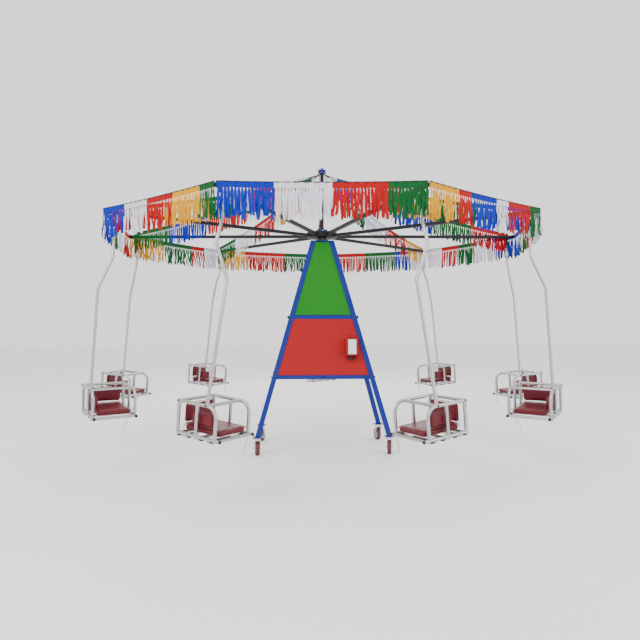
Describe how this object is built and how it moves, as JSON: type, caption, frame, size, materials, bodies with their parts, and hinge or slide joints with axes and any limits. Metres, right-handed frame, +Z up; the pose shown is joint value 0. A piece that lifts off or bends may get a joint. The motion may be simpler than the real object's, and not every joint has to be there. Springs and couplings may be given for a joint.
{
  "type": "merry go round",
  "caption": "Portable chain-hung merry go round: wheeled tapered tower, powered hub with radial arms, fringed canopy and caged child seats.",
  "frame": {"origin": "on the ground, on the hub's axis", "axes": "+Z up along the hub's axis; -Y is the tower's front, with the control box; +X is to the right seen from the front"},
  "size_m": [4.9096, 4.6671, 2.975],
  "materials": {
    "blue_paint": "gloss blue paint",
    "green_panel": "bright green sheet",
    "red_panel": "red sheet with a faint raised weave",
    "red_box": "red enclosure",
    "black_plastic": "moulded black",
    "cast_grey": "cast housing",
    "pulley_metal": "machined",
    "belt_rubber": "belt",
    "black_paint": "satin black paint",
    "violet_paint": "blue-violet paint",
    "wire_rope": "dark wire rope",
    "garland": "cut fringe in blocks of five colours",
    "zinc": "zinc plated",
    "tread": "dark maroon tread",
    "black_chain": "black links under a grey head",
    "bright_tube": "bright steel tube",
    "seat_pad": "maroon vinyl pads"
  },
  "bodies": {
    "tower": {"legs": "blue_paint", "base_frame": "blue_paint", "mid_frame": "blue_paint", "head_plate": "blue_paint", "upper_panels": "green_panel", "lower_panels": "red_panel", "frame_bolts": "black_plastic", "shaft_bearing": "cast_grey", "drive_shelf": "blue_paint", "gear_motor": "cast_grey", "drive_belt": "belt_rubber", "control_box": "red_box", "cable_glands": "black_plastic"},
    "rotor": {"drive_pulley": "pulley_metal", "main_shaft": "pulley_metal", "hub_drum": "black_paint", "hub_cap": "blue_paint", "arms": "black_paint", "spire_mast": "black_paint", "spire_cap": "violet_paint", "tie_cables": "wire_rope", "rim_garland": "garland", "spoke_garland": "garland"},
    "motor_drive": {"motor_pulley": "pulley_metal"},
    "cover": {"control_cover": "red_box"},
    "hanger_1": {"drop_chain_1": "black_chain"},
    "seat_1": {"seat_frame_1": "bright_tube", "seat_trim_1": "seat_pad"},
    "hanger_2": {"drop_chain_2": "black_chain"},
    "seat_2": {"seat_frame_2": "bright_tube", "seat_trim_2": "seat_pad"},
    "hanger_3": {"drop_chain_3": "black_chain"},
    "seat_3": {"seat_frame_3": "bright_tube", "seat_trim_3": "seat_pad"},
    "hanger_4": {"drop_chain_4": "black_chain"},
    "seat_4": {"seat_frame_4": "bright_tube", "seat_trim_4": "seat_pad"},
    "hanger_5": {"drop_chain_5": "black_chain"},
    "seat_5": {"seat_frame_5": "bright_tube", "seat_trim_5": "seat_pad"},
    "hanger_6": {"drop_chain_6": "black_chain"},
    "seat_6": {"seat_frame_6": "bright_tube", "seat_trim_6": "seat_pad"},
    "hanger_7": {"drop_chain_7": "black_chain"},
    "seat_7": {"seat_frame_7": "bright_tube", "seat_trim_7": "seat_pad"},
    "hanger_8": {"drop_chain_8": "black_chain"},
    "seat_8": {"seat_frame_8": "bright_tube", "seat_trim_8": "seat_pad"},
    "hanger_9": {"drop_chain_9": "black_chain"},
    "seat_9": {"seat_frame_9": "bright_tube", "seat_trim_9": "seat_pad"},
    "fork_1": {"caster_fork_1": "zinc"},
    "wheel_1": {"caster_wheel_1": "tread"},
    "fork_2": {"caster_fork_2": "zinc"},
    "wheel_2": {"caster_wheel_2": "tread"},
    "fork_3": {"caster_fork_3": "zinc"},
    "wheel_3": {"caster_wheel_3": "tread"},
    "fork_4": {"caster_fork_4": "zinc"},
    "wheel_4": {"caster_wheel_4": "tread"}
  },
  "joints": [
    {"name": "rotor_spin", "type": "hinge", "parent": "tower", "child": "rotor", "pos_m": [0, 0, 2.2], "axis": [0, 0, 1], "continuous": true},
    {"name": "motor_pulley_spin", "type": "hinge", "parent": "tower", "child": "motor_drive", "pos_m": [0.11, 0, 1.961], "axis": [0, 0, 1], "continuous": true},
    {"name": "cover_hinge", "type": "hinge", "parent": "tower", "child": "cover", "pos_m": [0.2225, -0.32891, 1.08003], "axis": [0, -0.1467, -0.9892], "range_deg": [0, 110]},
    {"name": "chain_swing_1", "type": "hinge", "parent": "rotor", "child": "hanger_1", "pos_m": [-0.8264, -1.94687, 2.25289], "axis": [-0.9205, 0.3907, 0], "range_deg": [-8, 18]},
    {"name": "seat_swivel_1", "type": "hinge", "parent": "hanger_1", "child": "seat_1", "pos_m": [-0.8264, -1.94687, 2.09409], "axis": [0, 0, 1], "range_deg": [-90, 90]},
    {"name": "chain_swing_2", "type": "hinge", "parent": "rotor", "child": "hanger_2", "pos_m": [-1.88448, -0.96019, 2.25289], "axis": [-0.454, 0.891, 0], "range_deg": [-8, 18]},
    {"name": "seat_swivel_2", "type": "hinge", "parent": "hanger_2", "child": "seat_2", "pos_m": [-1.88448, -0.96019, 2.09409], "axis": [0, 0, 1], "range_deg": [-90, 90]},
    {"name": "chain_swing_3", "type": "hinge", "parent": "rotor", "child": "hanger_3", "pos_m": [-2.06079, 0.47577, 2.25289], "axis": [0.225, 0.9744, 0], "range_deg": [-8, 18]},
    {"name": "seat_swivel_3", "type": "hinge", "parent": "hanger_3", "child": "seat_3", "pos_m": [-2.06079, 0.47577, 2.09409], "axis": [0, 0, 1], "range_deg": [-90, 90]},
    {"name": "chain_swing_4", "type": "hinge", "parent": "rotor", "child": "hanger_4", "pos_m": [-1.27284, 1.68911, 2.25289], "axis": [0.7986, 0.6018, 0], "range_deg": [-8, 18]},
    {"name": "seat_swivel_4", "type": "hinge", "parent": "hanger_4", "child": "seat_4", "pos_m": [-1.27284, 1.68911, 2.09409], "axis": [0, 0, 1], "range_deg": [-90, 90]},
    {"name": "chain_swing_5", "type": "hinge", "parent": "rotor", "child": "hanger_5", "pos_m": [0.11069, 2.1121, 2.25289], "axis": [0.9986, -0.0523, 0], "range_deg": [-8, 18]},
    {"name": "seat_swivel_5", "type": "hinge", "parent": "hanger_5", "child": "seat_5", "pos_m": [0.11069, 2.1121, 2.09409], "axis": [0, 0, 1], "range_deg": [-90, 90]},
    {"name": "chain_swing_6", "type": "hinge", "parent": "rotor", "child": "hanger_6", "pos_m": [1.44243, 1.54681, 2.25289], "axis": [0.7314, -0.682, 0], "range_deg": [-8, 18]},
    {"name": "seat_swivel_6", "type": "hinge", "parent": "hanger_6", "child": "seat_6", "pos_m": [1.44243, 1.54681, 2.09409], "axis": [0, 0, 1], "range_deg": [-90, 90]},
    {"name": "chain_swing_7", "type": "hinge", "parent": "rotor", "child": "hanger_7", "pos_m": [2.09924, 0.25775, 2.25289], "axis": [0.1219, -0.9925, 0], "range_deg": [-8, 18]},
    {"name": "seat_swivel_7", "type": "hinge", "parent": "hanger_7", "child": "seat_7", "pos_m": [2.09924, 0.25775, 2.09409], "axis": [0, 0, 1], "range_deg": [-90, 90]},
    {"name": "chain_swing_8", "type": "hinge", "parent": "rotor", "child": "hanger_8", "pos_m": [1.77379, -1.15191, 2.25289], "axis": [-0.5446, -0.8387, 0], "range_deg": [-8, 18]},
    {"name": "seat_swivel_8", "type": "hinge", "parent": "hanger_8", "child": "seat_8", "pos_m": [1.77379, -1.15191, 2.09409], "axis": [0, 0, 1], "range_deg": [-90, 90]},
    {"name": "chain_swing_9", "type": "hinge", "parent": "rotor", "child": "hanger_9", "pos_m": [0.61837, -2.02258, 2.25289], "axis": [-0.9563, -0.2924, 0], "range_deg": [-8, 18]},
    {"name": "seat_swivel_9", "type": "hinge", "parent": "hanger_9", "child": "seat_9", "pos_m": [0.61837, -2.02258, 2.09409], "axis": [0, 0, 1], "range_deg": [-90, 90]},
    {"name": "caster_swivel_1", "type": "hinge", "parent": "tower", "child": "fork_1", "pos_m": [-0.659, -0.37, 0.17], "axis": [0, 0, 1], "continuous": true},
    {"name": "wheel_spin_1", "type": "hinge", "parent": "fork_1", "child": "wheel_1", "pos_m": [-0.6649, -0.33652, 0.07], "axis": [-0.9848, -0.1736, 0], "continuous": true},
    {"name": "caster_swivel_2", "type": "hinge", "parent": "tower", "child": "fork_2", "pos_m": [0.659, -0.37, 0.17], "axis": [0, 0, 1], "continuous": true},
    {"name": "wheel_spin_2", "type": "hinge", "parent": "fork_2", "child": "wheel_2", "pos_m": [0.6649, -0.33652, 0.07], "axis": [-0.9848, 0.1736, 0], "continuous": true},
    {"name": "caster_swivel_3", "type": "hinge", "parent": "tower", "child": "fork_3", "pos_m": [-0.659, 0.37, 0.17], "axis": [0, 0, 1], "continuous": true},
    {"name": "wheel_spin_3", "type": "hinge", "parent": "fork_3", "child": "wheel_3", "pos_m": [-0.6531, 0.40348, 0.07], "axis": [-0.9848, 0.1736, 0], "continuous": true},
    {"name": "caster_swivel_4", "type": "hinge", "parent": "tower", "child": "fork_4", "pos_m": [0.659, 0.37, 0.17], "axis": [0, 0, 1], "continuous": true},
    {"name": "wheel_spin_4", "type": "hinge", "parent": "fork_4", "child": "wheel_4", "pos_m": [0.6531, 0.40348, 0.07], "axis": [-0.9848, -0.1736, 0], "continuous": true}
  ],
  "couplings": [
    {"joint": "motor_pulley_spin", "follows": "rotor_spin", "ratio": 2.6}
  ]
}
